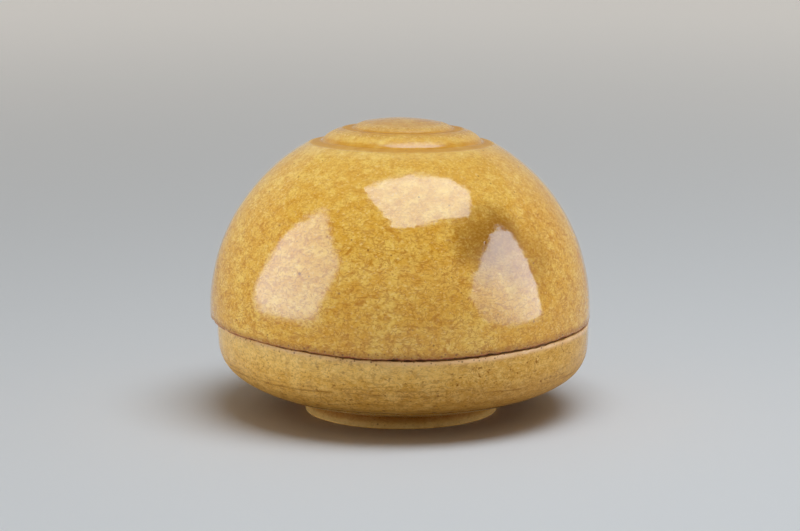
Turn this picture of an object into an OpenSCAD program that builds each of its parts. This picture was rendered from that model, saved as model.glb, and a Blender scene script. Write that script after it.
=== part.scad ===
// Round two-piece incense box of glazed stoneware: a domed lid with turned rings on a shallow footed bowl.
// Millimetres, +Z up. The origin is on the upright axis, in the plane that the foot stands on.

/* [Lid] */
// Widest diameter of the lid
lid_d = 59.8; // [50:0.2:80]
// Height of the lid's widest line above the seam
belly_h = 1.5; // [1:0.1:4]
// Thickness of the lid's wall at the seam
lid_wall = 3.4; // [2.6:0.1:5]
// Thickness of the lid at its top
crown_wall = 4.6; // [3.6:0.1:8]
// Radius of the round along the lid's lower outer edge
lid_edge_r = 0.8; // [0.3:0.1:1.4]

/* [Steps on the lid] */
// Diameter of the raised disc at the top of the lid
cap_d = 14.8; // [10:0.2:18]
// Depth of the step cut round the raised disc
cap_step_h = 0.35; // [0.25:0.05:0.8]
// Width of the ledge that the step leaves round the disc
cap_ledge_w = 2.2; // [0.6:0.1:3]
// Diameter of the second step, outside the raised disc
step_d = 24.4; // [22.4:0.1:30]
// Depth of the second step
step_h = 0.75; // [0.3:0.05:1.4]
// Width of the ledge round the second step
step_ledge_w = 3.1; // [1:0.1:5]
// Radius of the round along the lip of each step
lip_r = 0.2; // [0.05:0.05:0.2]

/* [Bowl] */
// Height of the bowl, from the foot to the seam
bowl_h = 14.4; // [11:0.1:24]
// How far the lid's widest line stands out past the bowl's rim
overhang = 0.7; // [0:0.1:2]
// Radius of the round along the bowl's outer rim
rim_r = 0.4; // [0.2:0.1:1]
// Fullness of the bowl's side: a higher number makes a straighter wall and a tighter turn
side_fullness = 3.4; // [2:0.1:6]
// Fullness of the bowl's underside: a higher number makes a flatter underside
under_fullness = 1.3; // [1.1:0.05:3]
// Thickness of the floor over the hollow of the foot
floor_t = 4; // [2.5:0.1:6]
// Fullness of the hollow's side and floor
hollow_fullness = 3.2; // [2:0.1:6]

/* [Foot] */
// Outer diameter of the foot ring on the table
foot_d = 31.4; // [24:0.2:40]
// Height of the foot ring, seen from outside
foot_h = 1.7; // [1:0.1:4]
// Width of the foot ring
foot_w = 3; // [2:0.1:5]
// Depth of the hollow inside the foot ring
foot_hollow = 1.5; // [0.6:0.1:3]
// How far the foot ring spreads between the bowl and the table
foot_flare = 0.7; // [0:0.05:1.2]
// Radius of the rounds along the foot ring's lower edges
foot_edge_r = 0.4; // [0.2:0.1:0.8]

/* [Fit of lid and bowl] */
// Height of the upright flange that keeps the lid centred
flange_h = 3; // [2:0.1:6]
// Thickness of the flange
flange_t = 1.8; // [1.4:0.1:3]
// Gap between the flange and the inside of the lid
flange_gap = 0.45; // [0.3:0.05:1]
// Radius of the round inside the lid's mouth and along the flange's top edges
mouth_r = 0.5; // [0.2:0.1:0.6]

/* [Smoothness] */
// Straight steps in each small round
round_steps = 6; // [3:1:12]
// Straight steps in each long curve
curve_steps = 24; // [12:1:48]

/* [Hidden] */
turn_fn = 96;
round_power = 2;
glaze_lid = [0.82, 0.66, 0.34];
glaze_bowl = [0.70, 0.54, 0.29];
lid_r = lid_d / 2;
dome_z = bowl_h + belly_h;
mouth_inner_r = lid_r - lid_wall;
mouth_top_z = bowl_h + max(belly_h, flange_h + flange_gap);
lid_hollow_h = dome_z + lid_r - crown_wall - mouth_top_z;
cap_edge_r = cap_d / 2;
step_edge_r = step_d / 2;
cap_ledge_r = cap_edge_r + cap_ledge_w;
step_ledge_r = step_edge_r + step_ledge_w;
rim_outer_r = lid_r - overhang;
flange_r = mouth_inner_r - flange_gap;
hollow_r = flange_r - flange_t;
flange_top_z = bowl_h + flange_h;
foot_r = foot_d / 2;
foot_waist_r = foot_r - foot_flare;
foot_inner_r = foot_r - foot_w;
floor_z = foot_hollow + floor_t;
side_top_z = bowl_h - rim_r;

// Points of a round: an arc about a centre, from one angle to another, both ends included
function round_edge(centre, r, from, to) = [
    for (i = [0:round_steps])
        let (a = from + (to - from) * i / round_steps)
        centre + r * [cos(a), sin(a)]
];

// Point that lies a depth below the face of the dome, at a distance from the axis
function below_dome(x, depth) = [x, dome_z + sqrt((lid_r - depth) ^ 2 - x ^ 2)];

// Angle of a point about the centre of the dome, above the level of its widest line
function dome_angle(point) = atan2(point[1] - dome_z, point[0]);

// Points of the dome between two angles, without the ends
function dome(from, to) = [
    for (i = [1:curve_steps - 1])
        let (a = from + (to - from) * i / curve_steps)
        [0, dome_z] + lid_r * [cos(a), sin(a)]
];

// Quarter of a superellipse about the origin, from its side down to its bottom, both ends included
function quarter(side, drop, side_power, bottom_power) = [
    for (i = [0:curve_steps])
        let (t = 90 * i / curve_steps)
        [side * cos(t) ^ (2 / bottom_power), -drop * sin(t) ^ (2 / side_power)]
];

// Centres of the rounds that touch the dome from inside: the lip of each step, and the lower edge
cap_lip = below_dome(cap_edge_r - lip_r, lip_r);
step_lip = below_dome(step_edge_r - lip_r, lip_r);
edge_drop = dome_z - bowl_h - lid_edge_r;
lid_edge = [sqrt((lid_r - lid_edge_r) ^ 2 - edge_drop ^ 2), bowl_h + lid_edge_r];

// Inside of the lid above its mouth, inside of the bowl below the flange, and outside of the bowl
lid_hollow = quarter(mouth_inner_r, lid_hollow_h, round_power, round_power);
bowl_hollow = quarter(hollow_r, bowl_h - floor_z, hollow_fullness, hollow_fullness);
bowl_side = quarter(rim_outer_r - foot_waist_r, side_top_z - foot_h, side_fullness, under_fullness);

// Half section of the lid: from the top down its outside, under its rim and up its inside
lid_outline = concat(
    [[0, dome_z + lid_r]],
    dome(90, dome_angle(cap_lip)),
    round_edge(cap_lip, lip_r, dome_angle(cap_lip), 0),
    [below_dome(cap_edge_r, cap_step_h)],
    [below_dome(cap_ledge_r, 0)],
    dome(dome_angle(below_dome(cap_ledge_r, 0)), dome_angle(step_lip)),
    round_edge(step_lip, lip_r, dome_angle(step_lip), 0),
    [below_dome(step_edge_r, step_h)],
    [below_dome(step_ledge_r, 0)],
    dome(dome_angle(below_dome(step_ledge_r, 0)), dome_angle(lid_edge)),
    round_edge(lid_edge, lid_edge_r, dome_angle(lid_edge), -90),
    round_edge([mouth_inner_r + mouth_r, bowl_h + mouth_r], mouth_r, 270, 180),
    [for (p = lid_hollow) [p[0], mouth_top_z - p[1]]]
);

// Half section of the bowl: down its hollow, under its foot, up its outside and over its rim and flange
bowl_outline = concat(
    [for (p = bowl_hollow) [p[0], bowl_h + p[1]]],
    [[0, foot_hollow]],
    [[foot_inner_r, foot_hollow]],
    round_edge([foot_inner_r + foot_edge_r, foot_edge_r], foot_edge_r, 180, 270),
    round_edge([foot_r - foot_edge_r, foot_edge_r], foot_edge_r, 270, 360),
    [for (i = [curve_steps:-1:1]) [foot_waist_r, side_top_z] + bowl_side[i]],
    round_edge([rim_outer_r - rim_r, side_top_z], rim_r, 0, 90),
    [[flange_r, bowl_h]],
    round_edge([flange_r - mouth_r, flange_top_z - mouth_r], mouth_r, 0, 90),
    round_edge([hollow_r + mouth_r, flange_top_z - mouth_r], mouth_r, 90, 180)
);

module lid() {
    color(glaze_lid)
        rotate_extrude($fn = turn_fn)
            polygon(lid_outline);
}

module bowl() {
    color(glaze_bowl)
        rotate_extrude($fn = turn_fn)
            polygon(bowl_outline);
}

lid();
bowl();
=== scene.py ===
"""Round incense box of yellow glazed stoneware: lid and bowl in full detail, floor, light and camera."""

import math
from typing import NamedTuple

import bpy
import numpy as np
from mathutils import Matrix, Vector


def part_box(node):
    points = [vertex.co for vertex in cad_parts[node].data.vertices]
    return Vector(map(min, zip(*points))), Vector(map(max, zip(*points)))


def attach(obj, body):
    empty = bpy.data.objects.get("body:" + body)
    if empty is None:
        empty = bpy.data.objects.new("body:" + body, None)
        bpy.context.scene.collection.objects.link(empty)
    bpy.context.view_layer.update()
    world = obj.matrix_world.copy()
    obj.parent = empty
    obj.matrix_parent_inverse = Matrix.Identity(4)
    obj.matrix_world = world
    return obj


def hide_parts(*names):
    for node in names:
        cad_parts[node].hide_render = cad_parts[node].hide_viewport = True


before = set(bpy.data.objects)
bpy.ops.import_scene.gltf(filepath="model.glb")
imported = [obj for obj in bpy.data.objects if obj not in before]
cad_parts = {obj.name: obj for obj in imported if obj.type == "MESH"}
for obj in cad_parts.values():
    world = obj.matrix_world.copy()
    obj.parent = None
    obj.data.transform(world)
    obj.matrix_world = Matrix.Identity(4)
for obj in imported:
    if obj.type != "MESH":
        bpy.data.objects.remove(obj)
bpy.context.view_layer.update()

# Lengths are millimetres unless said otherwise, and angles round the axis run from the front, -Y, to +X
MM = 0.001

# Sizes that model.glb gives
lid_low, lid_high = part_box("lid")
bowl_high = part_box("bowl")[1]
LID_R = lid_high.x / MM
TOP_Z = lid_high.z / MM
SEAM_Z = lid_low.z / MM
RIM_R = bowl_high.x / MM
FLANGE_TOP_Z = bowl_high.z / MM
DOME_Z = TOP_Z - LID_R

# Lid: steps on top, lower edge, and the hollow with its mouth
CAP_R = 7.65
CAP_LIP_ROUND = 3.0
CAP_LIP_TILT = 39.0
CAP_DROP = 0.36
CAP_LEAN = 0.27
CAP_LEDGE_R = 9.6
STEP_R = 12.4
STEP_LIP_ROUND = 4.4
STEP_LIP_TILT = 49.0
STEP_DROP = 0.59
STEP_LEAN = 0.3
STEP_LEDGE_R = 14.6
LID_EDGE_ROUND = 0.22
MOUTH_R = 26.5
MOUTH_ROUND = 0.5
MOUTH_TOP_Z = 17.85
LID_HOLLOW_H = 23.35
LID_HOLLOW_FULLNESS = 2.0

# Bowl: side, flange, hollow and foot
RIM_ROUND = 0.28
SIDE_FULLNESS = 3.8
UNDER_FULLNESS = 1.1
FLANGE_R = 26.05
FLANGE_ROUND = 0.5
HOLLOW_R = 24.25
HOLLOW_FULLNESS = 3.2
FLOOR_Z = 5.5
FOOT_R = 15.1
FOOT_WAIST_R = 14.5
FOOT_INNER_R = 12.7
FOOT_H = 1.7
FOOT_HOLLOW = 1.5
FOOT_LIP = 0.3
FOOT_EDGE_ROUND = 0.22
FOOT_INNER_ROUND = 0.4

# Points on each kind of curve, before a section is evened out
DOME_POINTS = 400
QUARTER_POINTS = 240
LIP_POINTS = 40
EDGE_POINTS = 30
ROUND_POINTS = 20
FOOT_ROUND_POINTS = 16

# Meshes: points along a half section and round it, and how far the glaze softens every corner
SECTION_POINTS = 262
TURN_POINTS = 360
DENSE_STEP = 0.04
GLAZE_SOFTENING = 0.1
SOFTENING_SPREADS = 4
WIDE_SPACING = 0.38
INNER_SPACING = 0.7
CLOSE_SPACING = 0.1
CLOSE_REACH = 0.7


class Ripples(NamedTuple):
    """Uneven waves in a surface: their height and their length."""

    size: float
    wavelength: float


# The hand of the potter: how the round forms depart from true, less so inside and not at all under the foot
SURFACE_INSET = 0.09
SWELL = Ripples(0.026, 15.0)
UNDULATION = Ripples(0.008, 4.4)
ORANGE_PEEL = Ripples(0.0022, 1.7)
RIPPLE_WAVES = 28
RIPPLE_SPREAD = (0.75, 1.35)
TURNING_LINES = Ripples(0.005, 1.25)
TURNING_WAVES = 14
TURNING_SPREAD = (0.6, 1.8)
TURNING_DRIFT = 1
CHIPS = Ripples(0.09, 1.8)
CHIP_REACH = 0.45
INNER_RELIEF = 0.6
STANDING_SPAN = (0.3, 1.5)

# Seeds of the random waves, and what the turning lines and the chips add to them
LID_SEED = 11
BOWL_SEED = 41
TURNING_SEED_SHIFT = 7
CHIP_SEED_SHIFT = 9

# The line of the seam: its drop, its tilt to one side, and waves twice and three times in a turn
SEAM_DROP = 0.22
SEAM_TILT = 0.31
SEAM_OVAL = 0.25
SEAM_WAVE = 0.22
SEAM_REACH = 5.0

# Rings on top that lean aside, as the shift of the top, and the radii between which the lean fades
CROWN_TILT = (0.5, 1.6)
CROWN_TILT_SPAN = (9.0, 21.0)
CAP_TILT = (0.0, -1.0)
CAP_TILT_SPAN = (7.5, 11.0)

# Sideways shifts of the bowl's wall, underside and foot, the heights where they hold, and their start
WALL_SHIFT = (0.46, -0.4)
UNDER_SHIFT = (0.9, -0.3)
UNDER_HEIGHT = (5.0, 3.2)
FOOT_SHIFT = (0.2, -1.2)
FOOT_FADE = (1.2, 3.0)
SHIFT_START = (-0.6, 0.0)


def smooth(value, low, high):
    """0 below low, 1 above high and an even S between them."""
    share = np.clip((value - low) / (high - low), 0.0, 1.0)
    return share * share * (3.0 - 2.0 * share)


def bell(value, centre, reach):
    """1 at the centre, falling off evenly on both sides."""
    return np.exp(-(((value - centre) / reach) ** 2))


def arc(centre, r, start, end, count):
    """Points on an arc about a centre, from one angle to another in degrees."""
    a = np.radians(np.linspace(start, end, count))
    return np.stack([centre[0] + r * np.cos(a), centre[1] + r * np.sin(a)], axis=1)


def quarter(side, drop, side_power, bottom_power):
    """Quarter of a superellipse about the origin, from its side down to its bottom."""
    t = np.linspace(0.0, math.pi / 2, QUARTER_POINTS)
    across = side * np.cos(t).clip(0.0) ** (2.0 / bottom_power)
    down = -drop * np.sin(t).clip(0.0) ** (2.0 / side_power)
    return np.stack([across, down], axis=1)


def line(*points):
    """Straight stretch through points."""
    return np.array(points, dtype=float)


def below_dome(r, depth):
    """Point that lies a depth below the dome's face, at a distance from the axis."""
    return (r, DOME_Z + math.sqrt((LID_R - depth) ** 2 - r ** 2))


def dome_angle(point):
    """Angle of a point about the centre of the dome."""
    return math.degrees(math.atan2(point[1] - DOME_Z, point[0]))


def dome(start, end):
    """Stretch of the dome between two points on it."""
    return arc((0.0, DOME_Z), LID_R, dome_angle(start), dome_angle(end), DOME_POINTS)


def lip(r, round_r, tilt):
    """Round that leaves the dome without a corner and ends, tilted by an angle, at a distance r."""
    reach = LID_R - round_r
    turn = math.degrees(math.asin((r - round_r * math.sin(math.radians(tilt))) / reach))
    way = math.radians(90.0 - turn)
    centre = (reach * math.cos(way), DOME_Z + reach * math.sin(way))
    return arc(centre, round_r, 90.0 - turn, 90.0 - tilt, LIP_POINTS)


def flare(waist_r, waist_z, end_r, end_z):
    """Hollow round that starts upright at a waist and spreads out to a wider, lower end."""
    out = end_r - waist_r
    down = waist_z - end_z
    round_r = (out ** 2 + down ** 2) / (2.0 * out)
    turn = math.degrees(math.asin(down / round_r))
    return arc((waist_r + round_r, waist_z), round_r, 180.0, 180.0 + turn, EDGE_POINTS)


def lid_stretches():
    """Half section of the lid as named stretches, from the top down its outside and up its inside."""
    cap_lip = lip(CAP_R, CAP_LIP_ROUND, CAP_LIP_TILT)
    step_lip = lip(STEP_R, STEP_LIP_ROUND, STEP_LIP_TILT)
    edge_drop = DOME_Z - SEAM_Z - LID_EDGE_ROUND
    edge = (math.sqrt((LID_R - LID_EDGE_ROUND) ** 2 - edge_drop ** 2), SEAM_Z + LID_EDGE_ROUND)
    mouth = (MOUTH_R + MOUTH_ROUND, SEAM_Z + MOUTH_ROUND)
    hollow = quarter(MOUTH_R, LID_HOLLOW_H, LID_HOLLOW_FULLNESS, LID_HOLLOW_FULLNESS)
    return [
        ("crown", dome((0.0, TOP_Z), cap_lip[0])),
        ("cap_lip", cap_lip),
        ("cap_riser", line(cap_lip[-1])),
        ("cap_ledge", line(below_dome(CAP_R + CAP_LEAN, CAP_DROP))),
        ("terrace", dome(below_dome(CAP_LEDGE_R, 0.0), step_lip[0])),
        ("step_lip", step_lip),
        ("step_riser", line(step_lip[-1])),
        ("step_ledge", line(below_dome(STEP_R + STEP_LEAN, STEP_DROP))),
        ("dome", dome(below_dome(STEP_LEDGE_R, 0.0), edge)),
        ("edge", arc(edge, LID_EDGE_ROUND, dome_angle(edge), -90.0, EDGE_POINTS)),
        ("mouth", arc(mouth, MOUTH_ROUND, 270.0, 180.0, ROUND_POINTS)),
        ("inside", hollow * (1.0, -1.0) + (0.0, MOUTH_TOP_Z)),
    ]


def bowl_stretches():
    """Half section of the bowl as named stretches, from inside over the flange and down to the foot."""
    hollow = quarter(HOLLOW_R, SEAM_Z - FLOOR_Z, HOLLOW_FULLNESS, HOLLOW_FULLNESS)
    side_top = SEAM_Z - RIM_ROUND
    side = quarter(RIM_R - FOOT_WAIST_R, side_top - FOOT_H, SIDE_FULLNESS, UNDER_FULLNESS)
    flange_z = FLANGE_TOP_Z - FLANGE_ROUND
    flange_inner = (HOLLOW_R + FLANGE_ROUND, flange_z)
    flange_outer = (FLANGE_R - FLANGE_ROUND, flange_z)
    foot_edge = (FOOT_R - FOOT_EDGE_ROUND, FOOT_EDGE_ROUND)
    foot_inside = (FOOT_INNER_R + FOOT_INNER_ROUND, FOOT_INNER_ROUND)
    return [
        ("inside", (hollow + (0.0, SEAM_Z))[::-1]),
        ("flange_inner", arc(flange_inner, FLANGE_ROUND, 180.0, 90.0, ROUND_POINTS)),
        ("flange_outer", arc(flange_outer, FLANGE_ROUND, 90.0, 0.0, ROUND_POINTS)),
        ("seat", line((FLANGE_R, SEAM_Z))),
        ("rim", arc((RIM_R - RIM_ROUND, side_top), RIM_ROUND, 90.0, 0.0, ROUND_POINTS)),
        ("side", side + (FOOT_WAIST_R, side_top)),
        ("foot_side", flare(FOOT_WAIST_R, FOOT_H, FOOT_R, FOOT_LIP)),
        ("foot_edge", arc(foot_edge, FOOT_EDGE_ROUND, 0.0, -90.0, FOOT_ROUND_POINTS)),
        ("foot_bottom", arc(foot_inside, FOOT_INNER_ROUND, 270.0, 180.0, FOOT_ROUND_POINTS)),
        ("foot_hollow", line((FOOT_INNER_R, FOOT_HOLLOW))),
        ("underside", line((0.0, FOOT_HOLLOW))),
    ]


def arc_length(points):
    """Length of a line from its start to each of its points."""
    return np.concatenate([[0.0], np.cumsum(np.hypot(*np.diff(points, axis=0).T))])


def evenly(points, step):
    """The same line with points at even steps, and the arc length at each."""
    length = arc_length(points)
    even = np.linspace(0.0, length[-1], int(length[-1] / step) + 1)
    return np.stack([np.interp(even, length, points[:, i]) for i in (0, 1)], axis=1), even


def soften(points, step, reach):
    """Rounds every corner of an evenly stepped line a little, as a fluid glaze does. Its ends stay."""
    half = int(SOFTENING_SPREADS * reach / step)
    weights = np.exp(-0.5 * (np.arange(-half, half + 1) * step / reach) ** 2)
    weights /= weights.sum()
    ahead = points[half:0:-1] * (-1.0, 1.0)
    behind = points[-2:-half - 2:-1] * (-1.0, 1.0)
    padded = np.concatenate([ahead, points, behind])
    return np.stack([np.convolve(padded[:, i], weights, "valid") for i in (0, 1)], axis=1)


class Band(NamedTuple):
    """Part of a half section, from near one mark to near another: how soft its ends are, and its strength."""

    start: str
    start_shift: float
    end: str
    end_shift: float
    soft: float
    strength: float = 1.0


class Section:
    """Half section of a piece: radius, height, outward normal and arc length at each point, and marks."""

    def __init__(self, stretches, inner):
        joined = np.concatenate([points for _, points in stretches])
        corners, length = evenly(joined, DENSE_STEP)
        dense = soften(corners, DENSE_STEP, GLAZE_SOFTENING)
        self.mark = self.find_marks(stretches, joined)
        place = self.spread(length, inner)
        self.length = place
        self.r = np.interp(place, length, dense[:, 0])
        self.z = np.interp(place, length, dense[:, 1])
        self.r[[0, -1]] = 0.0
        slope_r = np.interp(place, length, np.gradient(dense[:, 0], DENSE_STEP))
        slope_z = np.interp(place, length, np.gradient(dense[:, 1], DENSE_STEP))
        size = np.hypot(slope_r, slope_z)
        self.normal_r = -slope_z / size
        self.normal_z = slope_r / size

    @staticmethod
    def find_marks(stretches, joined):
        """Arc length at which each named stretch begins."""
        length = arc_length(joined)
        starts = np.cumsum([0] + [len(points) for _, points in stretches[:-1]])
        return {name: length[start] for (name, _), start in zip(stretches, starts)}

    def spread(self, length, inner):
        """Arc lengths for the mesh: close together at every mark, wide apart on the inner stretches."""
        names = list(self.mark)
        stretch = np.searchsorted(list(self.mark.values()), length, "right") - 1
        inside = np.isin(stretch, [names.index(name) for name in inner])
        weight = np.where(inside, 1.0 / INNER_SPACING, 1.0 / WIDE_SPACING)
        for place in self.mark.values():
            weight += bell(length, place, CLOSE_REACH) / CLOSE_SPACING
        share = np.concatenate([[0.0], np.cumsum((weight[1:] + weight[:-1]) / 2)])
        return np.interp(np.linspace(0.0, share[-1], SECTION_POINTS), share, length)

    def past(self, name, low, high):
        """0 up to a low shift from a mark, and 1 from a high one."""
        return smooth(self.length, self.mark[name] + low, self.mark[name] + high)

    def near(self, name, shift, reach):
        """1 at a shift from a mark, falling off on both sides."""
        return bell(self.length, self.mark[name] + shift, reach)

    def within(self, *bands):
        """Strength of some bands at each point, which is 0 outside them."""
        total = np.zeros_like(self.length)
        for band in bands:
            begun = self.past(band.start, band.start_shift - band.soft, band.start_shift + band.soft)
            ended = self.past(band.end, band.end_shift - band.soft, band.end_shift + band.soft)
            total += band.strength * begun * (1.0 - ended)
        return total


def ripple(points, wavelength, seed):
    """Even random field over points in space, of unit size, with one main wavelength."""
    rng = np.random.default_rng(seed)
    field = np.zeros(points.shape[:-1])
    for _ in range(RIPPLE_WAVES):
        way = rng.normal(size=3)
        way *= 2.0 * math.pi / (np.linalg.norm(way) * wavelength * rng.uniform(*RIPPLE_SPREAD))
        field += np.cos(points @ way + rng.uniform(0.0, 2.0 * math.pi))
    return field * math.sqrt(2.0 / RIPPLE_WAVES)


def turned(length, angle, wavelength, seed):
    """Fine rings left by turning: a random field along the section that drifts slowly round the axis."""
    rng = np.random.default_rng(seed)
    field = np.zeros((len(length), len(angle)))
    for _ in range(TURNING_WAVES):
        pitch = 2.0 * math.pi / (wavelength * rng.uniform(*TURNING_SPREAD))
        drift = rng.integers(-TURNING_DRIFT, TURNING_DRIFT + 1)
        phase = rng.uniform(0.0, 2.0 * math.pi)
        field += np.cos(pitch * length[:, None] + drift * angle[None, :] + phase)
    return field * math.sqrt(2.0 / TURNING_WAVES)


def seam_lift(angle):
    """Height by which the hand-cut seam leaves its level."""
    waves = SEAM_OVAL * np.cos(2.0 * angle) + SEAM_WAVE * np.cos(3.0 * angle)
    return -SEAM_DROP - SEAM_TILT * np.sin(angle) - waves


class Turned:
    """A section turned round the axis with the hand's departures from true, as rows of rings."""

    def __init__(self, section, seed, relief):
        self.angle = np.arange(TURN_POINTS) * 2.0 * math.pi / TURN_POINTS
        r = section.r[:, None]
        z = section.z[:, None]
        true = (r * np.sin(self.angle), -r * np.cos(self.angle), z)
        out = self.departure(section, np.stack(np.broadcast_arrays(*true), axis=2), seed)
        out *= relief[:, None]
        self.r = r + out * section.normal_r[:, None]
        lift = seam_lift(self.angle) * bell(z, SEAM_Z, SEAM_REACH) * smooth(z, 0.0, FOOT_H)
        self.z = z + out * section.normal_z[:, None] + lift
        self.r[[0, -1]] = 0.0
        self.z[0] = self.z[0].mean()
        self.z[-1] = self.z[-1].mean()

    def departure(self, section, true, seed):
        """How far the surface stands out from the true one: waves, turning lines and chips."""
        out = -SURFACE_INSET * np.ones(true.shape[:2])
        for part, waves in enumerate((SWELL, UNDULATION, ORANGE_PEEL)):
            out += waves.size * ripple(true, waves.wavelength, seed + part)
        lines = turned(section.length, self.angle, TURNING_LINES.wavelength, seed + TURNING_SEED_SHIFT)
        out += TURNING_LINES.size * lines
        chips = np.maximum(ripple(true, CHIPS.wavelength, seed + CHIP_SEED_SHIFT), 0.0)
        out -= CHIPS.size * chips * bell(section.z[:, None], SEAM_Z, CHIP_REACH)
        return out

    def places(self):
        """Points in space."""
        return np.stack([self.r * np.sin(self.angle), -self.r * np.cos(self.angle), self.z], axis=2)


def tilted(points, top_shift, share):
    """Points turned about the centre of the dome so that its top moves aside, by a share for each ring."""
    way = np.array((*top_shift, 0.0)) / LID_R
    centre = (0.0, 0.0, DOME_Z)
    before = points - centre
    rise = -(before @ way)[:, :, None] * (0.0, 0.0, 1.0)
    after = before + share[:, None, None] * (before[:, :, 2:] * way + rise)
    stretch = np.linalg.norm(after, axis=2) / np.linalg.norm(before, axis=2)
    return centre + after / stretch[:, :, None]


def revolved_mesh(name, points, fields):
    """Mesh of rings, closed at both poles, with each field as a point attribute."""
    rows, columns = points.shape[:2]
    rings = points[1:-1].reshape(-1, 3)
    vertices = np.concatenate([points[:1, 0], rings, points[-1:, 0]]) * MM
    here = 1 + np.arange(rows - 2)[:, None] * columns + np.arange(columns)[None, :]
    beside = np.roll(here, -1, axis=1)
    quads = np.stack([here[:-1], here[1:], beside[1:], beside[:-1]], axis=2).reshape(-1, 4)
    last = len(vertices) - 1
    first_fan = [(0, a, b) for a, b in zip(here[0], beside[0])]
    last_fan = [(last, b, a) for a, b in zip(here[-1], beside[-1])]
    mesh = bpy.data.meshes.new(name)
    mesh.from_pydata(vertices.tolist(), [], first_fan + quads.tolist() + last_fan)
    mesh.polygons.foreach_set("use_smooth", [True] * len(mesh.polygons))
    for field, values in fields.items():
        flat = np.concatenate([values[:1, 0], values[1:-1].reshape(-1), values[-1:, 0]])
        mesh.attributes.new(field, "FLOAT", "POINT").data.foreach_set("value", flat.astype(np.float32))
    mesh.validate()
    mesh.update()
    return mesh


def show(name, mesh, material):
    """Object for a mesh, with its material."""
    mesh.materials.append(material)
    piece = bpy.data.objects.new(name, mesh)
    bpy.context.scene.collection.objects.link(piece)
    return piece


# Glaze and clay colours as sRGB, as they show in even light
STRAW = (230, 182, 80)
AMBER = (208, 142, 12)
DEEP_AMBER = (168, 93, 0)
# Cream of pale grain, thin glaze and painted light
CREAM = (238, 208, 142)
BOWL_STRAW = (236, 185, 96)
BOWL_AMBER = (208, 149, 46)
BOWL_DEEP = (138, 82, 6)
SPECK = (118, 58, 2)
OLIVE = (138, 84, 0)
POOLED = (190, 124, 10)
TOASTED = (138, 74, 10)
PINK_CLAY = (236, 188, 136)
BARE_CLAY = (196, 160, 116)
SCORCHED_CLAY = (150, 92, 54)
IRON_SPECK = (92, 54, 30)
CLAY_GRIT = (228, 206, 172)
# Brown of the seam line, also used for pooled glaze and painted crease shade in the fold above the foot
SEAM_AND_FOLD_SHADE_BROWN = (140, 60, 6)
SEAM_SPECK = (104, 46, 4)


class Noise(NamedTuple):
    """Cloudy pattern: how many clouds fit in a millimetre, and how fine, rough and warped they are."""

    per_mm: float
    detail: float = 3.0
    roughness: float = 0.55
    warp: float = 0.0


class Pattern(NamedTuple):
    """Values between which a pattern sets in, and how far it takes the colour."""

    low: float
    high: float
    share: float


class Specks(NamedTuple):
    """Round specks: cells in a millimetre, share of cells that have one, size and darkness."""

    per_mm: float
    share: float
    size: float
    darkness: float


class Splash(NamedTuple):
    """Splash of another colour: its centre, reach and strength."""

    place: tuple
    reach: float
    strength: float


class Pinhole(NamedTuple):
    """Single hole in the glaze."""

    place: tuple
    size: float


class Ring(NamedTuple):
    """Line that runs round a piece."""

    height: float
    strength: float


# Glaze by itself: soft patches, mottling and grain, flattened where they lie along the turning
PATCH_NOISE = Noise(0.16, detail=2.0)
PATCHES = Pattern(0.38, 0.62, 0.35)
FLATTENED = (1.0, 1.0, 1.4)
MOTTLE_NOISE = Noise(0.6)
MOTTLE = Pattern(0.36, 0.64, 0.58)
GRAIN_FLATTENED = (1.0, 1.0, 1.5)
GRAIN_NOISE = Noise(2.2, roughness=0.6)
DARK_GRAIN = Pattern(0.3, 0.5, 0.4)
PALE_GRAIN = Pattern(0.52, 0.74, 0.42)
FRECKLE_NOISE = Noise(1.15, roughness=0.6)
FRECKLE_SPAN = (0.58, 0.72)

# Short strokes along the contours of a noise: number of contours, width, and where they break
STROKE_LEVELS = 9.0
STROKE_WIDTH = 0.42
STROKE_DETAIL = 1.5
STROKE_ROUGHNESS = 0.5
STROKE_WARP = 0.8
BREAK_RATE = 1.5
BREAK_DETAIL = 2.0
BREAK_SPAN = (0.38, 0.58)
CURLS_PER_MM = 0.5
FINE_CURLS_PER_MM = 0.9
DASHES_PER_MM = 0.36
DASH_FLATTENED = (1.0, 1.0, 2.6)

# Splashes of copper green on the lid's right front
SPLASHES = (Splash((13.4, -22.6, 31.0), 8.0, 0.9), Splash((19.4, -20.6, 28.0), 9.0, 0.48))
SPLASH_CORE = 2.0
SPLASH_EDGE_NOISE = Noise(0.22, detail=4.0, roughness=0.6)
SPLASH_EDGE_SIZE = 7.0
SPLASH_GRAIN_SPAN = (0.35, 0.65)
SPLASH_GRAIN_LEAST = 0.75

# Flow of the glaze: how unevenly it pools and thins, and how far thin glaze and painted light take the colour
# to cream
FLOW_NOISE = Noise(0.5, detail=4.0, roughness=0.6)
FLOW_SPAN = (0.3, 0.7)
FLOW_LEAST = 0.6
THIN_SHARE = 0.7

# Seam: heights over it between which the dark line and the toasted glaze fade, and how they waver
SEAM_NOISE = Noise(1.3, detail=4.0, roughness=0.7)
SEAM_EDGE_WAVER = 1.2
SEAM_LINE = (0.0, 0.4)
TOAST_SPAN = (0.4, 1.45)
PIT_SPAN = (0.5, 1.6)

# Specks, and single pinholes on the lid's front
LID_SPECKS = Specks(1.1, 0.1, 0.15, 0.6)
BOWL_SPECKS = Specks(1.1, 0.3, 0.15, 0.6)
LARGE_SPECKS = Specks(0.4, 0.16, 0.2, 0.75)
LARGE_SPECK_SPAN = (0.5, 0.9)
SEAM_PITS = Specks(2.0, 0.7, 0.14, 0.75)
LEAST_SPECK = 0.4
SPECK_EDGE = (0.6, 1.1)
PINHOLES = (
    Pinhole((-15.0, -23.9, 25.8), 0.32),
    Pinhole((-1.3, -26.8, 29.1), 0.24),
    Pinhole((-4.7, -28.2, 24.8), 0.22),
    Pinhole((5.0, -29.5, 16.0), 0.26),
)
PINHOLE_CORE = 0.5

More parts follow.
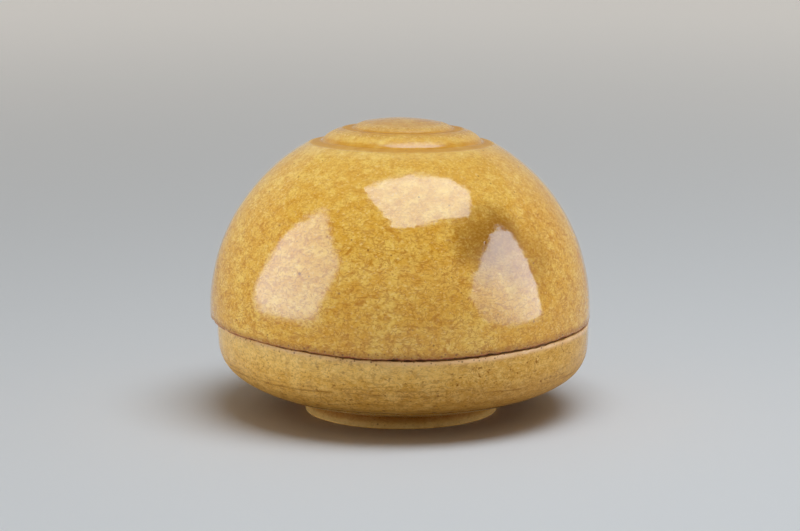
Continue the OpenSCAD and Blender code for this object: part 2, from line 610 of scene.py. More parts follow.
# Faint lines left by throwing: where they are on the bowl, how they sway and break, and their width
THROWING_LINES = (Ring(8.9, 0.35), Ring(8.1, 0.6), Ring(6.3, 0.2))
THROWING_WIDTH = (0.04, 0.28)
THROWING_SWAY_NOISE = Noise(0.06, detail=2.0)
THROWING_SWAY = 1.2
THROWING_BREAK_NOISE = Noise(0.3)
THROWING_BREAK_SPAN = (0.4, 0.6)
THROWING_FLATTENED = (1.0, 1.0, 4.0)

# Bare clay: the wavering line where the glaze stops with its toasted margin, scorching, rings and grain
GLAZE_LINE_NOISE = Noise(0.7)
GLAZE_LINE_WAVER = 0.6
BARE_SPAN = (0.4, 0.6)
MARGIN = Pattern(0.2, 0.45, 0.7)
SCORCH_NOISE = Noise(0.12)
SCORCH = Pattern(0.42, 0.7, 0.6)
RING_NOISE = Noise(1.6, detail=2.0)
RINGS = Pattern(0.4, 0.65, 0.35)
CLAY_GRAIN_NOISE = Noise(1.7, detail=4.0, roughness=0.65)
DARK_CLAY_GRAIN = Pattern(0.3, 0.5, 0.5)
PALE_CLAY_GRAIN = Pattern(0.52, 0.7, 0.4)
IRON_SPECKS = Specks(0.9, 0.5, 0.16, 0.8)
GRIT = Specks(1.3, 0.5, 0.12, 0.7)

# Gloss: roughness of the glaze, and what grain, toasting, bare clay and the seam add to it
GLAZE_IOR = 1.6
GLAZE_ROUGHNESS = 0.05
GRAIN_ROUGHNESS = 0.06
TOAST_ROUGHNESS = 0.35
CLAY_ROUGHNESS = 0.6
SEAM_ROUGHNESS = 0.5
MOST_ROUGHNESS = 0.9

# Fine relief: heights of the skin, grain and clay, and depths of specks, pits and lines
SKIN_NOISE = Noise(0.9, detail=2.0)
SKIN_HEIGHT = 0.012
GRAIN_HEIGHT = 0.004
CLAY_HEIGHT = 0.05
LARGE_SPECK_DEPTH = 0.014
SMALL_SPECK_DEPTH = 0.01
PIT_DEPTH = 0.03
LINE_DEPTH = 0.012


class Finish(NamedTuple):
    """What sets one piece's glaze apart: its tones, the strength of its marks, and its gloss."""

    straw: tuple
    amber: tuple
    deep: tuple
    strokes: float
    freckles: float
    specks: Specks
    specular: float
    splashes: tuple = ()
    pinholes: tuple = ()
    throwing_lines: tuple = ()


LID_FINISH = Finish(
    straw=STRAW,
    amber=AMBER,
    deep=DEEP_AMBER,
    strokes=0.64,
    freckles=0.3,
    specks=LID_SPECKS,
    specular=0.5,
    splashes=SPLASHES,
    pinholes=PINHOLES,
)
BOWL_FINISH = Finish(
    straw=BOWL_STRAW,
    amber=BOWL_AMBER,
    deep=BOWL_DEEP,
    strokes=0.46,
    freckles=0.95,
    specks=BOWL_SPECKS,
    specular=0.15,
    throwing_lines=THROWING_LINES,
)


def colour(code):
    """Linear colour of an sRGB one."""
    parts = [v / 255.0 for v in code]
    linear = [p / 12.92 if p <= 0.04045 else ((p + 0.055) / 1.055) ** 2.4 for p in parts]
    return (*linear, 1.0)


class Nodes:
    """Adds shader nodes to one tree. An input takes a number, a colour, a vector or a node's output."""

    def __init__(self, tree):
        self.tree = tree

    def put(self, socket, value):
        if isinstance(value, bpy.types.NodeSocket):
            self.tree.links.new(value, socket)
        else:
            socket.default_value = value

    def node(self, kind, inputs, **settings):
        made = self.tree.nodes.new(kind)
        for name, value in settings.items():
            setattr(made, name, value)
        for key, value in inputs.items():
            self.put(made.inputs[key], value)
        return made

    def math(self, operation, first, second=0.0):
        return self.node("ShaderNodeMath", {0: first, 1: second}, operation=operation).outputs[0]

    def times(self, *factors):
        product = factors[0]
        for factor in factors[1:]:
            product = self.math("MULTIPLY", product, factor)
        return product

    def plus(self, *terms):
        total = terms[0]
        for term in terms[1:]:
            total = self.math("ADD", total, term)
        return total

    def ramp(self, value, low, high, start=0.0, end=1.0):
        inputs = {0: value, 1: low, 2: high, 3: start, 4: end}
        return self.node("ShaderNodeMapRange", inputs, interpolation_type="SMOOTHSTEP").outputs[0]

    def rising(self, value, pattern):
        return self.ramp(value, pattern.low, pattern.high, 0.0, pattern.share)

    def falling(self, value, pattern):
        return self.ramp(value, pattern.low, pattern.high, pattern.share, 0.0)

    def blend(self, share, first, second):
        inputs = {0: share, 6: first, 7: second}
        return self.node("ShaderNodeMix", inputs, data_type="RGBA").outputs[2]

    def vector(self, operation, first, second=(0.0, 0.0, 0.0)):
        return self.node("ShaderNodeVectorMath", {0: first, 1: second}, operation=operation).outputs

    def stretched(self, spot, scale):
        return self.vector("MULTIPLY", spot, scale)["Vector"]

    def distance(self, spot, point):
        return self.vector("DISTANCE", spot, point)["Value"]

    def along(self, spot, way):
        return self.vector("DOT_PRODUCT", spot, way)["Value"]

    def height(self, spot):
        return self.node("ShaderNodeSeparateXYZ", {0: spot}).outputs[2]

    def noise(self, spot, noise):
        inputs = {"Vector": spot, "Scale": noise.per_mm, "Detail": noise.detail}
        inputs |= {"Roughness": noise.roughness, "Distortion": noise.warp}
        return self.node("ShaderNodeTexNoise", inputs).outputs["Fac"]

    def waver(self, spot, noise, size):
        return self.times(self.math("SUBTRACT", self.noise(spot, noise), 0.5), size)

    def field(self, name):
        return self.node("ShaderNodeAttribute", {}, attribute_name=name).outputs["Fac"]

    def place(self):
        return self.node("ShaderNodeTexCoord", {}).outputs["Object"]


def specks(n, spot, kind):
    """Round specks of mixed size: one in some of the cells of a pattern."""
    cell = n.node("ShaderNodeTexVoronoi", {"Vector": spot, "Scale": kind.per_mm})
    pick = n.node("ShaderNodeSeparateColor", {0: cell.outputs["Color"]})
    there = n.math("LESS_THAN", pick.outputs[0], kind.share)
    size = kind.size * kind.per_mm
    radius = n.plus(n.times(pick.outputs[1], size), LEAST_SPECK * size)
    inside = n.math("DIVIDE", cell.outputs["Distance"], radius)
    return n.times(n.ramp(inside, *SPECK_EDGE, 1.0, 0.0), there)


def strokes(n, spot, per_mm):
    """Short thin strokes that run along the contours of a noise pattern, broken into dashes."""
    contours = n.noise(spot, Noise(per_mm, STROKE_DETAIL, STROKE_ROUGHNESS, STROKE_WARP))
    wave = n.math("PINGPONG", n.times(contours, STROKE_LEVELS), 1.0)
    thin_glaze_and_light = n.ramp(wave, 0.0, STROKE_WIDTH, 1.0, 0.0)
    broken = n.ramp(n.noise(spot, Noise(per_mm * BREAK_RATE, BREAK_DETAIL)), *BREAK_SPAN)
    return n.times(thin_glaze_and_light, broken)


def throwing(n, spot, rings):
    """Faint broken lines that run round the piece, each at a height and with a strength."""
    sway = n.times(n.noise(spot, THROWING_SWAY_NOISE), THROWING_SWAY)
    level = n.plus(n.height(spot), sway, -THROWING_SWAY / 2)
    flat = n.stretched(spot, THROWING_FLATTENED)
    broken = n.ramp(n.noise(flat, THROWING_BREAK_NOISE), *THROWING_BREAK_SPAN)
    lines = 0.0
    for ring in rings:
        away = n.math("ABSOLUTE", n.math("SUBTRACT", level, ring.height))
        lines = n.math("MAXIMUM", lines, n.ramp(away, *THROWING_WIDTH, ring.strength, 0.0))
    return n.times(lines, broken)


def clay_rings(n, spot):
    """Fine rings left in the clay by turning: a pattern of distance from the axis and height alone."""
    reach = n.vector("LENGTH", n.stretched(spot, (1.0, 1.0, 0.0)))["Value"]
    section = n.node("ShaderNodeCombineXYZ", {0: reach, 1: n.height(spot)}).outputs[0]
    return n.noise(section, RING_NOISE)


class Stoneware:
    """Yellow ash glaze over buff stoneware. Fields of the mesh say where it pools, thins, toasts or stops,
    and where light and shade are painted into its colour.
    """

    def __init__(self, n, finish):
        self.n = n
        self.finish = finish
        self.spot = n.stretched(n.place(), (1.0 / MM,) * 3)
        self.grain = n.noise(n.stretched(self.spot, GRAIN_FLATTENED), GRAIN_NOISE)
        self.clay_grain = n.noise(self.spot, CLAY_GRAIN_NOISE)
        self.rings = clay_rings(n, self.spot)
        over_seam = n.plus(n.field("rim"), n.waver(self.spot, SEAM_NOISE, SEAM_EDGE_WAVER))
        self.toast = n.times(n.ramp(over_seam, *TOAST_SPAN, 1.0, 0.0), n.field("toast"))
        self.seam = n.ramp(over_seam, *SEAM_LINE, 1.0, 0.0)
        self.cover = n.plus(n.field("bare"), n.waver(self.spot, GLAZE_LINE_NOISE, GLAZE_LINE_WAVER))
        self.bare = n.ramp(self.cover, *BARE_SPAN)
        self.lines = throwing(n, self.spot, finish.throwing_lines) if finish.throwing_lines else 0.0
        self.small = specks(n, self.spot, finish.specks)
        self.large = self.large_specks()
        near_seam = n.ramp(n.field("rim"), *PIT_SPAN, 1.0, 0.0)
        self.pits = n.times(specks(n, self.spot, SEAM_PITS), near_seam)

    def large_specks(self):
        """Large specks where the glaze has marks, and the single pinholes."""
        n = self.n
        marked = n.ramp(n.field("marking"), *LARGE_SPECK_SPAN)
        large = n.times(specks(n, self.spot, LARGE_SPECKS), marked)
        for hole in self.finish.pinholes:
            away = n.distance(self.spot, hole.place)
            large = n.math("MAXIMUM", large, n.ramp(away, PINHOLE_CORE * hole.size, hole.size, 1.0, 0.0))
        return large

    def glaze(self):
        """Colour of the glaze by itself: soft patches, mottling, fine grain and short strokes."""
        n = self.n
        spot = self.spot
        flat = n.stretched(spot, FLATTENED)
        amber = colour(self.finish.amber)
        deep = colour(self.finish.deep)
        tone = n.blend(n.rising(n.noise(spot, PATCH_NOISE), PATCHES), colour(self.finish.straw), amber)
        tone = n.blend(n.rising(n.noise(flat, MOTTLE_NOISE), MOTTLE), tone, amber)
        tone = n.blend(n.falling(self.grain, DARK_GRAIN), tone, deep)
        tone = n.blend(n.rising(self.grain, PALE_GRAIN), tone, colour(CREAM))
        curls = n.math("MAXIMUM", strokes(n, spot, CURLS_PER_MM), strokes(n, flat, FINE_CURLS_PER_MM))
        dashes = strokes(n, n.stretched(spot, DASH_FLATTENED), DASHES_PER_MM)
        marking = n.field("marking")
        drawn = n.times(n.math("MAXIMUM", curls, dashes), marking, self.finish.strokes)
        tone = n.blend(drawn, tone, deep)
        freckles = n.ramp(n.noise(flat, FRECKLE_NOISE), *FRECKLE_SPAN)
        return n.blend(n.times(freckles, marking, self.finish.freckles), tone, deep)

    def splashed(self, tone):
        """The glaze with its splashes, whose edges are ragged."""
        n = self.n
        ragged = n.waver(self.spot, SPLASH_EDGE_NOISE, SPLASH_EDGE_SIZE)
        for splash in self.finish.splashes:
            away = n.plus(n.distance(self.spot, splash.place), ragged)
            spread = n.ramp(away, SPLASH_CORE, splash.reach, splash.strength, 0.0)
            grainy = n.ramp(self.grain, *SPLASH_GRAIN_SPAN, 1.0, SPLASH_GRAIN_LEAST)
            tone = n.blend(n.times(spread, grainy), tone, colour(OLIVE))
        return tone

    def fired(self, tone):
        """The glaze with painted shade, pooled, thinned and given painted light, toasted at the seam, with
        painted crease shade in the fold, and with its specks.
        """
        n = self.n
        deep = colour(self.finish.deep)
        uneven = n.ramp(n.noise(self.spot, FLOW_NOISE), *FLOW_SPAN, FLOW_LEAST, 1.0)
        # Painted shade towards deep amber
        tone = n.blend(n.field("painted_shade"), tone, deep)
        tone = n.blend(self.lines, tone, deep)
        tone = n.blend(n.times(n.field("pool"), uneven), tone, colour(POOLED))
        # Thin glaze and painted light towards cream
        tone = n.blend(n.times(n.field("thin_glaze_and_light"), uneven, THIN_SHARE), tone, colour(CREAM))
        tone = n.blend(self.toast, tone, colour(TOASTED))
        # Pale clay line, stronger on the right as painted light
        tone = n.blend(n.times(n.field("pale"), uneven), tone, colour(PINK_CLAY))
        # Seam line, and pooled glaze with painted crease shade in the fold
        tone = n.blend(n.math("MAXIMUM", self.seam, n.field("fold_pool_and_shade")), tone, colour(SEAM_AND_FOLD_SHADE_BROWN))
        tone = n.blend(n.times(self.small, self.finish.specks.darkness), tone, colour(SPECK))
        tone = n.blend(n.times(self.large, LARGE_SPECKS.darkness), tone, colour(SPECK))
        return n.blend(n.times(self.pits, SEAM_PITS.darkness), tone, colour(SEAM_SPECK))

    def clay(self):
        """Colour of fired clay without glaze: scorched patches, turning rings, iron specks and grit."""
        n = self.n
        scorched = colour(SCORCHED_CLAY)
        tone = n.blend(n.rising(n.noise(self.spot, SCORCH_NOISE), SCORCH), colour(BARE_CLAY), scorched)
        tone = n.blend(n.rising(self.rings, RINGS), tone, scorched)
        tone = n.blend(n.falling(self.clay_grain, DARK_CLAY_GRAIN), tone, scorched)
        tone = n.blend(n.rising(self.clay_grain, PALE_CLAY_GRAIN), tone, colour(CLAY_GRIT))
        iron = n.times(specks(n, self.spot, IRON_SPECKS), IRON_SPECKS.darkness)
        tone = n.blend(iron, tone, colour(IRON_SPECK))
        return n.blend(n.times(specks(n, self.spot, GRIT), GRIT.darkness), tone, colour(CLAY_GRIT))

    def tone(self):
        """Colour of the whole surface."""
        n = self.n
        tone = self.fired(self.splashed(self.glaze()))
        tone = n.blend(n.rising(self.cover, MARGIN), tone, colour(TOASTED))
        return n.blend(self.bare, tone, self.clay())

    def roughness(self):
        """Roughness of the whole surface."""
        n = self.n
        dry = n.plus(n.times(self.bare, CLAY_ROUGHNESS), n.times(self.seam, SEAM_ROUGHNESS))
        dull = n.plus(n.field("matte"), n.times(self.toast, TOAST_ROUGHNESS), dry)
        grainy = n.plus(GLAZE_ROUGHNESS, n.times(self.grain, GRAIN_ROUGHNESS))
        return n.math("MINIMUM", n.plus(grainy, dull), MOST_ROUGHNESS)

    def relief(self):
        """Height of the fine relief."""
        n = self.n
        skin = n.plus(n.times(n.noise(self.spot, SKIN_NOISE), SKIN_HEIGHT), n.times(self.grain, GRAIN_HEIGHT))
        skin = n.plus(skin, n.times(n.plus(self.clay_grain, self.rings), self.bare, CLAY_HEIGHT))
        dots = n.plus(n.times(self.large, LARGE_SPECK_DEPTH), n.times(self.small, SMALL_SPECK_DEPTH))
        holes = n.plus(dots, n.times(self.pits, PIT_DEPTH), n.times(self.lines, LINE_DEPTH))
        return n.math("SUBTRACT", skin, holes)


def stoneware(name, finish):
    """Material of one piece."""
    material = bpy.data.materials.new(name)
    material.use_nodes = True
    shader = material.node_tree.nodes["Principled BSDF"]
    n = Nodes(material.node_tree)
    surface = Stoneware(n, finish)
    n.put(shader.inputs["Base Color"], surface.tone())
    n.put(shader.inputs["Roughness"], surface.roughness())
    shader.inputs["IOR"].default_value = GLAZE_IOR
    shader.inputs["Specular IOR Level"].default_value = finish.specular
    bump = n.node("ShaderNodeBump", {"Height": surface.relief()})
    bump.inputs["Distance"].default_value = MM
    n.put(shader.inputs["Normal"], bump.outputs[0])
    return material


# Bounds of the lid's and the bowl's outside, and the value of a rim field where there is no rim
LID_OUTSIDE_END = -2.0
BOWL_OUTSIDE = Band("rim", -0.3, "foot_edge", 0.5, 0.3)
BOWL_RIM_START = -1.0
NO_RIM = 9.0

# Lid: pools under the steps, thin glaze on the lips with a painted highlight on the cap's lip, painted light
# on the ridge and the upper dome, and rough lips and ledges
LID_POOLS = (
    Band("cap_riser", -0.1, "cap_ledge", 1.1, 0.3, 0.7),
    Band("step_riser", -0.2, "step_ledge", 1.5, 0.3, 0.85),
)
THIN_AND_LIT_LIPS = (
    Band("cap_lip", -0.5, "cap_riser", 0.0, 0.3, 0.35),
    Band("step_lip", -0.5, "step_riser", -0.4, 0.3, 0.15),
)
RIDGE = (0.5, 0.9)
RIDGE_LIGHT = 0.3
UPPER_DOME = (39.5, 3.5)
UPPER_DOME_LIGHT = 0.1
ROUGH_STEPS = (
    Band("step_lip", -0.5, "step_riser", 0.2, 0.3, 0.13),
    Band("cap_lip", -0.5, "cap_riser", 0.2, 0.3, 0.13),
    Band("step_ledge", 0.1, "dome", -0.2, 0.25, 0.35),
    Band("cap_ledge", 0.1, "terrace", -0.2, 0.25, 0.35),
)
ROUGH_CROWN = (11.0, 13.0)
CROWN_MATTE = 0.06

# Lid: a calmer top, painted shade on the crown and on the right side, and toasting and bare clay at the seam
CALM_TOP = (28.0, 40.0)
CALM_SHARE = 0.55
CROWN_SHADE = 0.32
CROWN_SHADE_SPAN = (10.0, 11.5)
LID_RIGHT = (0.4, 1.0)
LID_RIGHT_SHADE = 0.15
LID_TOAST = 0.55
LID_SEAT = (-2.2, -1.6)
LID_BARE_SPAN = (1.6, 3.2)

# Bowl: side, bare clay on flange and sole, the fold above the foot with pooled glaze and painted crease
# shade, the foot's pool and rough wall, and painted light on its lower edge
BOWL_SIDE = Band("rim", 0.0, "foot_side", 0.0, 0.05)
BARE_FLANGE = Band("flange_inner", -0.6, "rim", -0.2, 0.4)
BARE_SOLE = Band("foot_edge", 0.2, "foot_hollow", 0.5, 0.2)
FOLD_POOL_AND_SHADE = Band("foot_side", -7.0, "foot_side", 0.7, 0.4, 0.45)
FOLD_RISE = (-5.0, -1.0)
FOOT_POOL = Band("foot_side", -0.3, "foot_edge", 0.3, 0.3, 0.7)
ROUGH_FOOT = Band("foot_side", -0.2, "foot_edge", 0.4, 0.2, 0.6)
# Painted light along the foot's lower edge
FOOT_LIP_LINE = (-0.3, 0.6)
FOOT_LIP_LIGHT = 0.5

# Bowl: matte lower wall; a pale clay line under the seam, stronger on the right as painted light; a band of
# painted light under the seam; painted shade; and how each varies to the right
WALL_MATTE = 0.45
WALL_MATTE_RISE = (2.0, 8.0)
WALL_MATTE_FALL = (9.0, 11.0)
SEAM_CLEAR = 0.3
BOWL_TOAST = 0.25
PALE_LINE = (0.4, 0.4)
PALE_LIT_RIGHT = (-0.3, 0.4)
PALE_LEAST = 0.4
UNDER_SEAM_LIGHT = 0.4
UNDER_SEAM_LIGHT_SPAN = (0.8, 5.0)
BOWL_RIGHT = (-0.1, 0.6)
BOWL_RIGHT_SHADE = 0.24
WALL_SHADE = 0.26
WALL_SHADE_SPAN = (2.0, 11.5)


def all_round(value):
    """A field that is the same all the way round."""
    return np.repeat(value[:, None], TURN_POINTS, axis=1)


def lid_fields(section, outside, angle):
    """Fields of the lid's surface, over its section and round its axis."""
    up = section.z - SEAM_Z
    # Painted light: the upper dome a little paler, as lit from above
    lit_dome = UPPER_DOME_LIGHT * bell(section.z, *UPPER_DOME) * outside
    rough_crown = CROWN_MATTE * (1.0 - smooth(section.r, *ROUGH_CROWN))
    along = {
        "pool": section.within(*LID_POOLS),
        # Thin glaze on the lips, a painted highlight on the cap's lip, and painted light on the ridge and
        # upper dome
        "thin_glaze_and_light": section.within(*THIN_AND_LIT_LIPS) + RIDGE_LIGHT * section.near("dome", *RIDGE) + lit_dome,
        "marking": 1.0 - CALM_SHARE * smooth(section.z, *CALM_TOP),
        "matte": (rough_crown + section.within(*ROUGH_STEPS)) * outside,
        "rim": np.where(outside, up, NO_RIM),
        "toast": np.full_like(up, LID_TOAST),
        "pale": np.zeros_like(up),
        "fold_pool_and_shade": np.zeros_like(up),
        "bare": section.past("mouth", *LID_SEAT) * (1.0 - smooth(up, *LID_BARE_SPAN)),
    }
    fields = {name: all_round(value) for name, value in along.items()}
    # Painted shade: the crown and the right side are darkened towards deep amber
    right = smooth(np.sin(angle), *LID_RIGHT)
    crown_shade = CROWN_SHADE * (1.0 - smooth(section.r, *CROWN_SHADE_SPAN)) * outside
    fields["painted_shade"] = np.outer(LID_RIGHT_SHADE * outside, right) + crown_shade[:, None]
    return fields


def make_lid():
    """The lid, with its rings on top leaning a little."""
    section = Section(lid_stretches(), ("inside",))
    outside = section.length < section.mark["mouth"] + LID_OUTSIDE_END
    body = Turned(section, LID_SEED, np.where(outside, 1.0, INNER_RELIEF))
    crown = 1.0 - smooth(section.r, *CROWN_TILT_SPAN)
    cap = 1.0 - smooth(section.r, *CAP_TILT_SPAN)
    points = tilted(body.places(), CROWN_TILT, np.where(outside, crown, 0.0))
    points = tilted(points, CAP_TILT, np.where(outside, cap, 0.0))
    mesh = revolved_mesh("glazed_lid", points, lid_fields(section, outside, body.angle))
    lid = show("glazed_lid", mesh, stoneware("yellow_glaze_lid", LID_FINISH))
    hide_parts("lid")
    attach(lid, "lid")
    return lid


def bowl_fields(section, angle):
    """Fields of the bowl's surface, over its section and round its axis."""
    down = SEAM_Z - section.z
    on_side = section.within(BOWL_SIDE)
    below_rim = section.length > section.mark["rim"] + BOWL_RIM_START
    rough_wall = WALL_MATTE * smooth(down, *WALL_MATTE_RISE) * (1.0 - smooth(down, *WALL_MATTE_FALL))
    along = {
        "pool": section.within(FOOT_POOL),
        # Pooled glaze and painted crease shade in the fold above the foot
        "fold_pool_and_shade": section.past("foot_side", *FOLD_RISE) * section.within(FOLD_POOL_AND_SHADE),
        "marking": np.ones_like(down),
        "matte": on_side * rough_wall + section.within(ROUGH_FOOT),
        "rim": np.where(below_rim, down + SEAM_CLEAR, NO_RIM),
        "toast": np.full_like(down, BOWL_TOAST),
        "bare": np.maximum(section.within(BARE_FLANGE), section.within(BARE_SOLE)),
    }
    fields = {name: all_round(value) for name, value in along.items()}
    right = smooth(np.sin(angle), *BOWL_RIGHT)
    # Pale clay line under the seam, stronger on the right as painted light
    lit_on_right = PALE_LEAST + (1.0 - PALE_LEAST) * smooth(np.sin(angle), *PALE_LIT_RIGHT)
    fields["pale"] = np.outer(on_side * bell(down, *PALE_LINE), lit_on_right)
    # Painted light: a paler band under the seam, left off on the right, and a lighter foot edge
    top = UNDER_SEAM_LIGHT * on_side * (1.0 - smooth(down, *UNDER_SEAM_LIGHT_SPAN))
    lit_foot_lip = FOOT_LIP_LIGHT * section.near("foot_edge", *FOOT_LIP_LINE)
    fields["thin_glaze_and_light"] = np.outer(top, 1.0 - right) + lit_foot_lip[:, None]
    # Painted shade on the lower wall and on the right side
    wall_shade = WALL_SHADE * on_side * smooth(down, *WALL_SHADE_SPAN)
    fields["painted_shade"] = np.outer(BOWL_RIGHT_SHADE * on_side, right) + wall_shade[:, None]
    return fields


def make_bowl():
    """The bowl, with its wall, underside and foot a little out of line."""
    section = Section(bowl_stretches(), ("inside", "underside"))
    relief = np.where(section.within(BOWL_OUTSIDE) > 0.5, 1.0, INNER_RELIEF)
    body = Turned(section, BOWL_SEED, relief * smooth(section.z, *STANDING_SPAN))
    under = bell(section.z, *UNDER_HEIGHT)
    foot = 1.0 - smooth(section.z, *FOOT_FADE)
    moved = section.past("rim", *SHIFT_START)
    points = body.places()
    for axis, (wall, below, stand) in enumerate(zip(WALL_SHIFT, UNDER_SHIFT, FOOT_SHIFT)):
        shift = (wall + (below - wall) * under) * (1.0 - foot) + stand * foot
        points[:, :, axis] += (shift * moved)[:, None]
    mesh = revolved_mesh("glazed_bowl", points, bowl_fields(section, body.angle))
    bowl = show("glazed_bowl", mesh, stoneware("yellow_glaze_bowl", BOWL_FINISH))
    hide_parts("bowl")
    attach(bowl, "bowl")
    return bowl


# Studio in metres: a pale floor that runs up into a wall all round, and its colour as sRGB
FLOOR_COLOUR = (236, 232, 226)
FLOOR_ROUGHNESS = 0.85
FLOOR_SPECULAR = 0.2
FLOOR_LIFT = 0.4
FLOOR_LIFT_SPAN = (0.1, 0.7)
FLOOR_RINGS = (0.3, 0.9)
FLOOR_R = 1.7
COVE_R = 0.5
WALL_TOP = 1.6
STAGE_TURN_POINTS = 128
COVE_POINTS = 16


def floor_mesh():
    """Floor, cove and wall, turned round the upright axis."""
    flat = [(r, 0.0) for r in FLOOR_RINGS]
    cove = arc((FLOOR_R, COVE_R), COVE_R, -90.0, 0.0, COVE_POINTS).tolist()
    outline = flat + cove + [(FLOOR_R + COVE_R, WALL_TOP)]
    angle = np.arange(STAGE_TURN_POINTS) * 2.0 * math.pi / STAGE_TURN_POINTS
    vertices = [(0.0, 0.0, 0.0)]
    for r, z in outline:
        vertices += [(r * math.sin(a), -r * math.cos(a), z) for a in angle]
    around = [(i, (i + 1) % STAGE_TURN_POINTS) for i in range(STAGE_TURN_POINTS)]
    faces = [(0, 1 + i, 1 + j) for i, j in around]
    for row in range(len(outline) - 1):
        inner = 1 + row * STAGE_TURN_POINTS
        outer = inner + STAGE_TURN_POINTS
        faces += [(inner + i, outer + i, outer + j, inner + j) for i, j in around]
    mesh = bpy.data.meshes.new("floor")
    mesh.from_pydata(vertices, [], faces)
    mesh.polygons.foreach_set("use_smooth", [True] * len(mesh.polygons))
    return mesh


def floor_material():
    """Pale floor that looks brighter away from the object, without more light on it."""
    material = bpy.data.materials.new("pale_floor")
    material.use_nodes = True
    shader = material.node_tree.nodes["Principled BSDF"]
    shader.inputs["Base Color"].default_value = colour(FLOOR_COLOUR)
    shader.inputs["Roughness"].default_value = FLOOR_ROUGHNESS
    shader.inputs["Specular IOR Level"].default_value = FLOOR_SPECULAR
    shader.inputs["Emission Color"].default_value = colour(FLOOR_COLOUR)
    n = Nodes(material.node_tree)
    path = n.node("ShaderNodeLightPath", {}).outputs
    seen = n.plus(path["Is Camera Ray"], path["Is Glossy Ray"], path["Is Transmission Ray"])
    away = n.vector("LENGTH", n.place())["Value"]
    lift = n.ramp(away, *FLOOR_LIFT_SPAN, 0.0, FLOOR_LIFT)
    n.put(shader.inputs["Emission Strength"], n.times(lift, seen))
    return material


def make_stage():
    """Floor and wall round the object."""
    show("floor", floor_mesh(), floor_material())


class Fade(NamedTuple):
    """Share of a lamp's light at its dim place, and where it is dim and where full."""

    share: float
    dim: tuple
    full: tuple


class Softbox(NamedTuple):
    """Flat lamp: its distance in metres, its corners as tangents seen from the object, and its light."""

    distance: float
    corners: tuple
    radiance: float
    softness: float
    fade: Fade = None


# Softboxes, whose radiance is 1 for white, and the even light of the room
AIM = Vector((0.0, 0.0, 0.026))
UPRIGHT = Vector((0.0, 0.0, 1.0))
LEFT_AZIMUTH = -73.0
LEFT_BOX = Softbox(
    distance=0.22,
    corners=(
        (-0.19, 1.48), (0.72, 0.81), (0.76, 0.47), (0.54, -0.13), (-0.27, -0.15), (-0.41, 0.01), (-0.37, 0.83)
    ),
    radiance=3.8,
    softness=0.035,
    fade=Fade(0.7, (0.6, 0.6), (-0.1, 0.1)),
)
RIGHT_AZIMUTH = 69.0
RIGHT_BOX = Softbox(
    distance=0.22,
    corners=(
        (0.25, 0.82), (0.34, 0.68), (0.35, -0.13), (-0.12, -0.14),
        (-0.4, -0.05), (-0.51, 0.21), (-0.42, 0.44), (0.02, 0.75),
    ),
    radiance=4.6,
    softness=0.006,
    fade=Fade(0.2, (-0.45, -0.1), (0.1, 0.45)),
)
TOP_TURN = 18.7
TOP_BOX = Softbox(
    distance=0.5,
    corners=(
        (-0.28, 0.05), (0.15, 0.07), (0.42, 0.05), (0.6, -0.03),
        (0.62, -0.5), (0.17, -0.6), (-0.27, -0.6), (-0.34, -0.15),
    ),
    radiance=4.1,
    softness=0.006,
)
LAMP_COLOUR = (0.86, 1.0, 1.18)
AMBIENT = (0.244, 0.235, 0.220)


class Face(NamedTuple):
    """Plane of a lamp: its directions across and up, and its point straight out from the object."""

    across: Vector
    up: Vector
    origin: Vector

    def way(self, step):
        """Direction in space of a step on the face."""
        return self.across * step.x + self.up * step.y

    def at(self, spot):
        """Point in space of a spot on the face."""
        return self.origin + self.across * spot.x + self.up * spot.y


def faded(n, place, face, box):
    """Light over a lamp's face, from its dim place to its full one."""
    if box.fade is None:
        return 1.0
    dim = Vector(box.fade.dim) * box.distance
    way = face.way(Vector(box.fade.full) * box.distance - dim)
    start = face.at(dim).dot(way)
    return n.ramp(n.along(place, way), start, start + way.length_squared, box.fade.share, 1.0)


def trimmed(n, place, face, corners, softness, strength):
    """Light over a lamp's face, cut off along the straight sides between its corners."""
    sides = list(zip(corners, corners[1:] + corners[:1]))
    turn = math.copysign(1.0, sum(a.x * b.y - b.x * a.y for a, b in sides))
    for a, b in sides:
        side = (b - a).normalized()
        inward = face.way(Vector((-side.y, side.x))) * turn
        limit = inward.dot(face.at(a))
        strength = n.times(strength, n.ramp(n.along(place, inward), limit, limit + softness))
    return strength


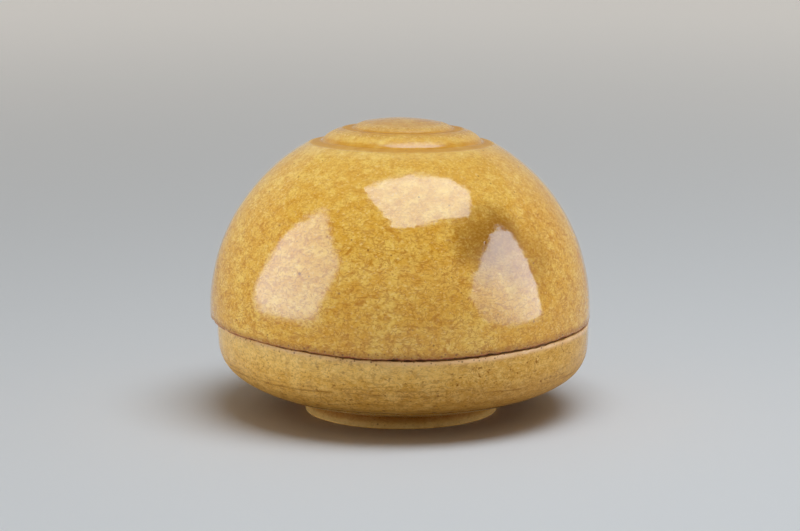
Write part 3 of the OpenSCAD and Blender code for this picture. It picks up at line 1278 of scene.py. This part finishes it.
def hang(name, across, up, box):
    """Lamp of a softbox, which faces the object."""
    out = across.cross(up)
    face = Face(across, up, AIM + out * box.distance)
    corners = [Vector(corner) * box.distance for corner in box.corners]
    low = Vector((min(c.x for c in corners), min(c.y for c in corners)))
    high = Vector((max(c.x for c in corners), max(c.y for c in corners)))
    size = high - low
    lamp = bpy.data.lights.new(name, "AREA")
    lamp.shape = "RECTANGLE"
    lamp.size = size.x
    lamp.size_y = size.y
    lamp.color = LAMP_COLOUR
    lamp.energy = box.radiance * math.pi * size.x * size.y
    lamp.use_nodes = True
    n = Nodes(lamp.node_tree)
    place = n.node("ShaderNodeNewGeometry", {}).outputs["Position"]
    strength = trimmed(n, place, face, corners, box.softness, faded(n, place, face, box))
    n.put(lamp.node_tree.nodes["Emission"].inputs["Strength"], strength)
    turn = Matrix((across, up, out)).transposed().to_4x4()
    holder = bpy.data.objects.new(name, lamp)
    holder.matrix_world = Matrix.Translation(face.at((low + high) / 2)) @ turn
    holder.visible_camera = False
    bpy.context.scene.collection.objects.link(holder)
    return holder


def level_way(angle):
    """Level direction at an angle in degrees from +X towards +Y."""
    turn = math.radians(angle)
    return Vector((math.cos(turn), math.sin(turn), 0.0))


def make_lights(pieces):
    """Two side lamps that light only the pieces, a top lamp, and even light."""
    left_light = hang("left_light", level_way(LEFT_AZIMUTH), UPRIGHT, LEFT_BOX)
    right_light = hang("right_light", level_way(RIGHT_AZIMUTH), UPRIGHT, RIGHT_BOX)
    lit = bpy.data.collections.new("side_lit")
    for piece in pieces:
        lit.objects.link(piece)
    for light in (left_light, right_light):
        light.light_linking.receiver_collection = lit
    hang("top_light", level_way(TOP_TURN), level_way(TOP_TURN + 90.0), TOP_BOX)
    world = bpy.data.worlds.new("studio")
    world.use_nodes = True
    world.node_tree.nodes["Background"].inputs["Color"].default_value = (*AMBIENT, 1.0)
    bpy.context.scene.world = world


# Camera in metres and degrees
CAMERA_PLACE = (0.0, -0.470, 0.1105)
CAMERA_DIP = 10.6
CAMERA_LENS = 137.2


def make_camera():
    """Camera at the front, looking slightly down."""
    camera = bpy.data.cameras.new("camera")
    camera.lens = CAMERA_LENS
    holder = bpy.data.objects.new("camera", camera)
    holder.location = CAMERA_PLACE
    holder.rotation_euler = (math.radians(90.0 - CAMERA_DIP), 0.0, 0.0)
    bpy.context.scene.collection.objects.link(holder)
    bpy.context.scene.camera = holder


pieces = (make_lid(), make_bowl())
make_stage()
make_lights(pieces)
make_camera()
bpy.context.scene.view_settings.view_transform = "Standard"
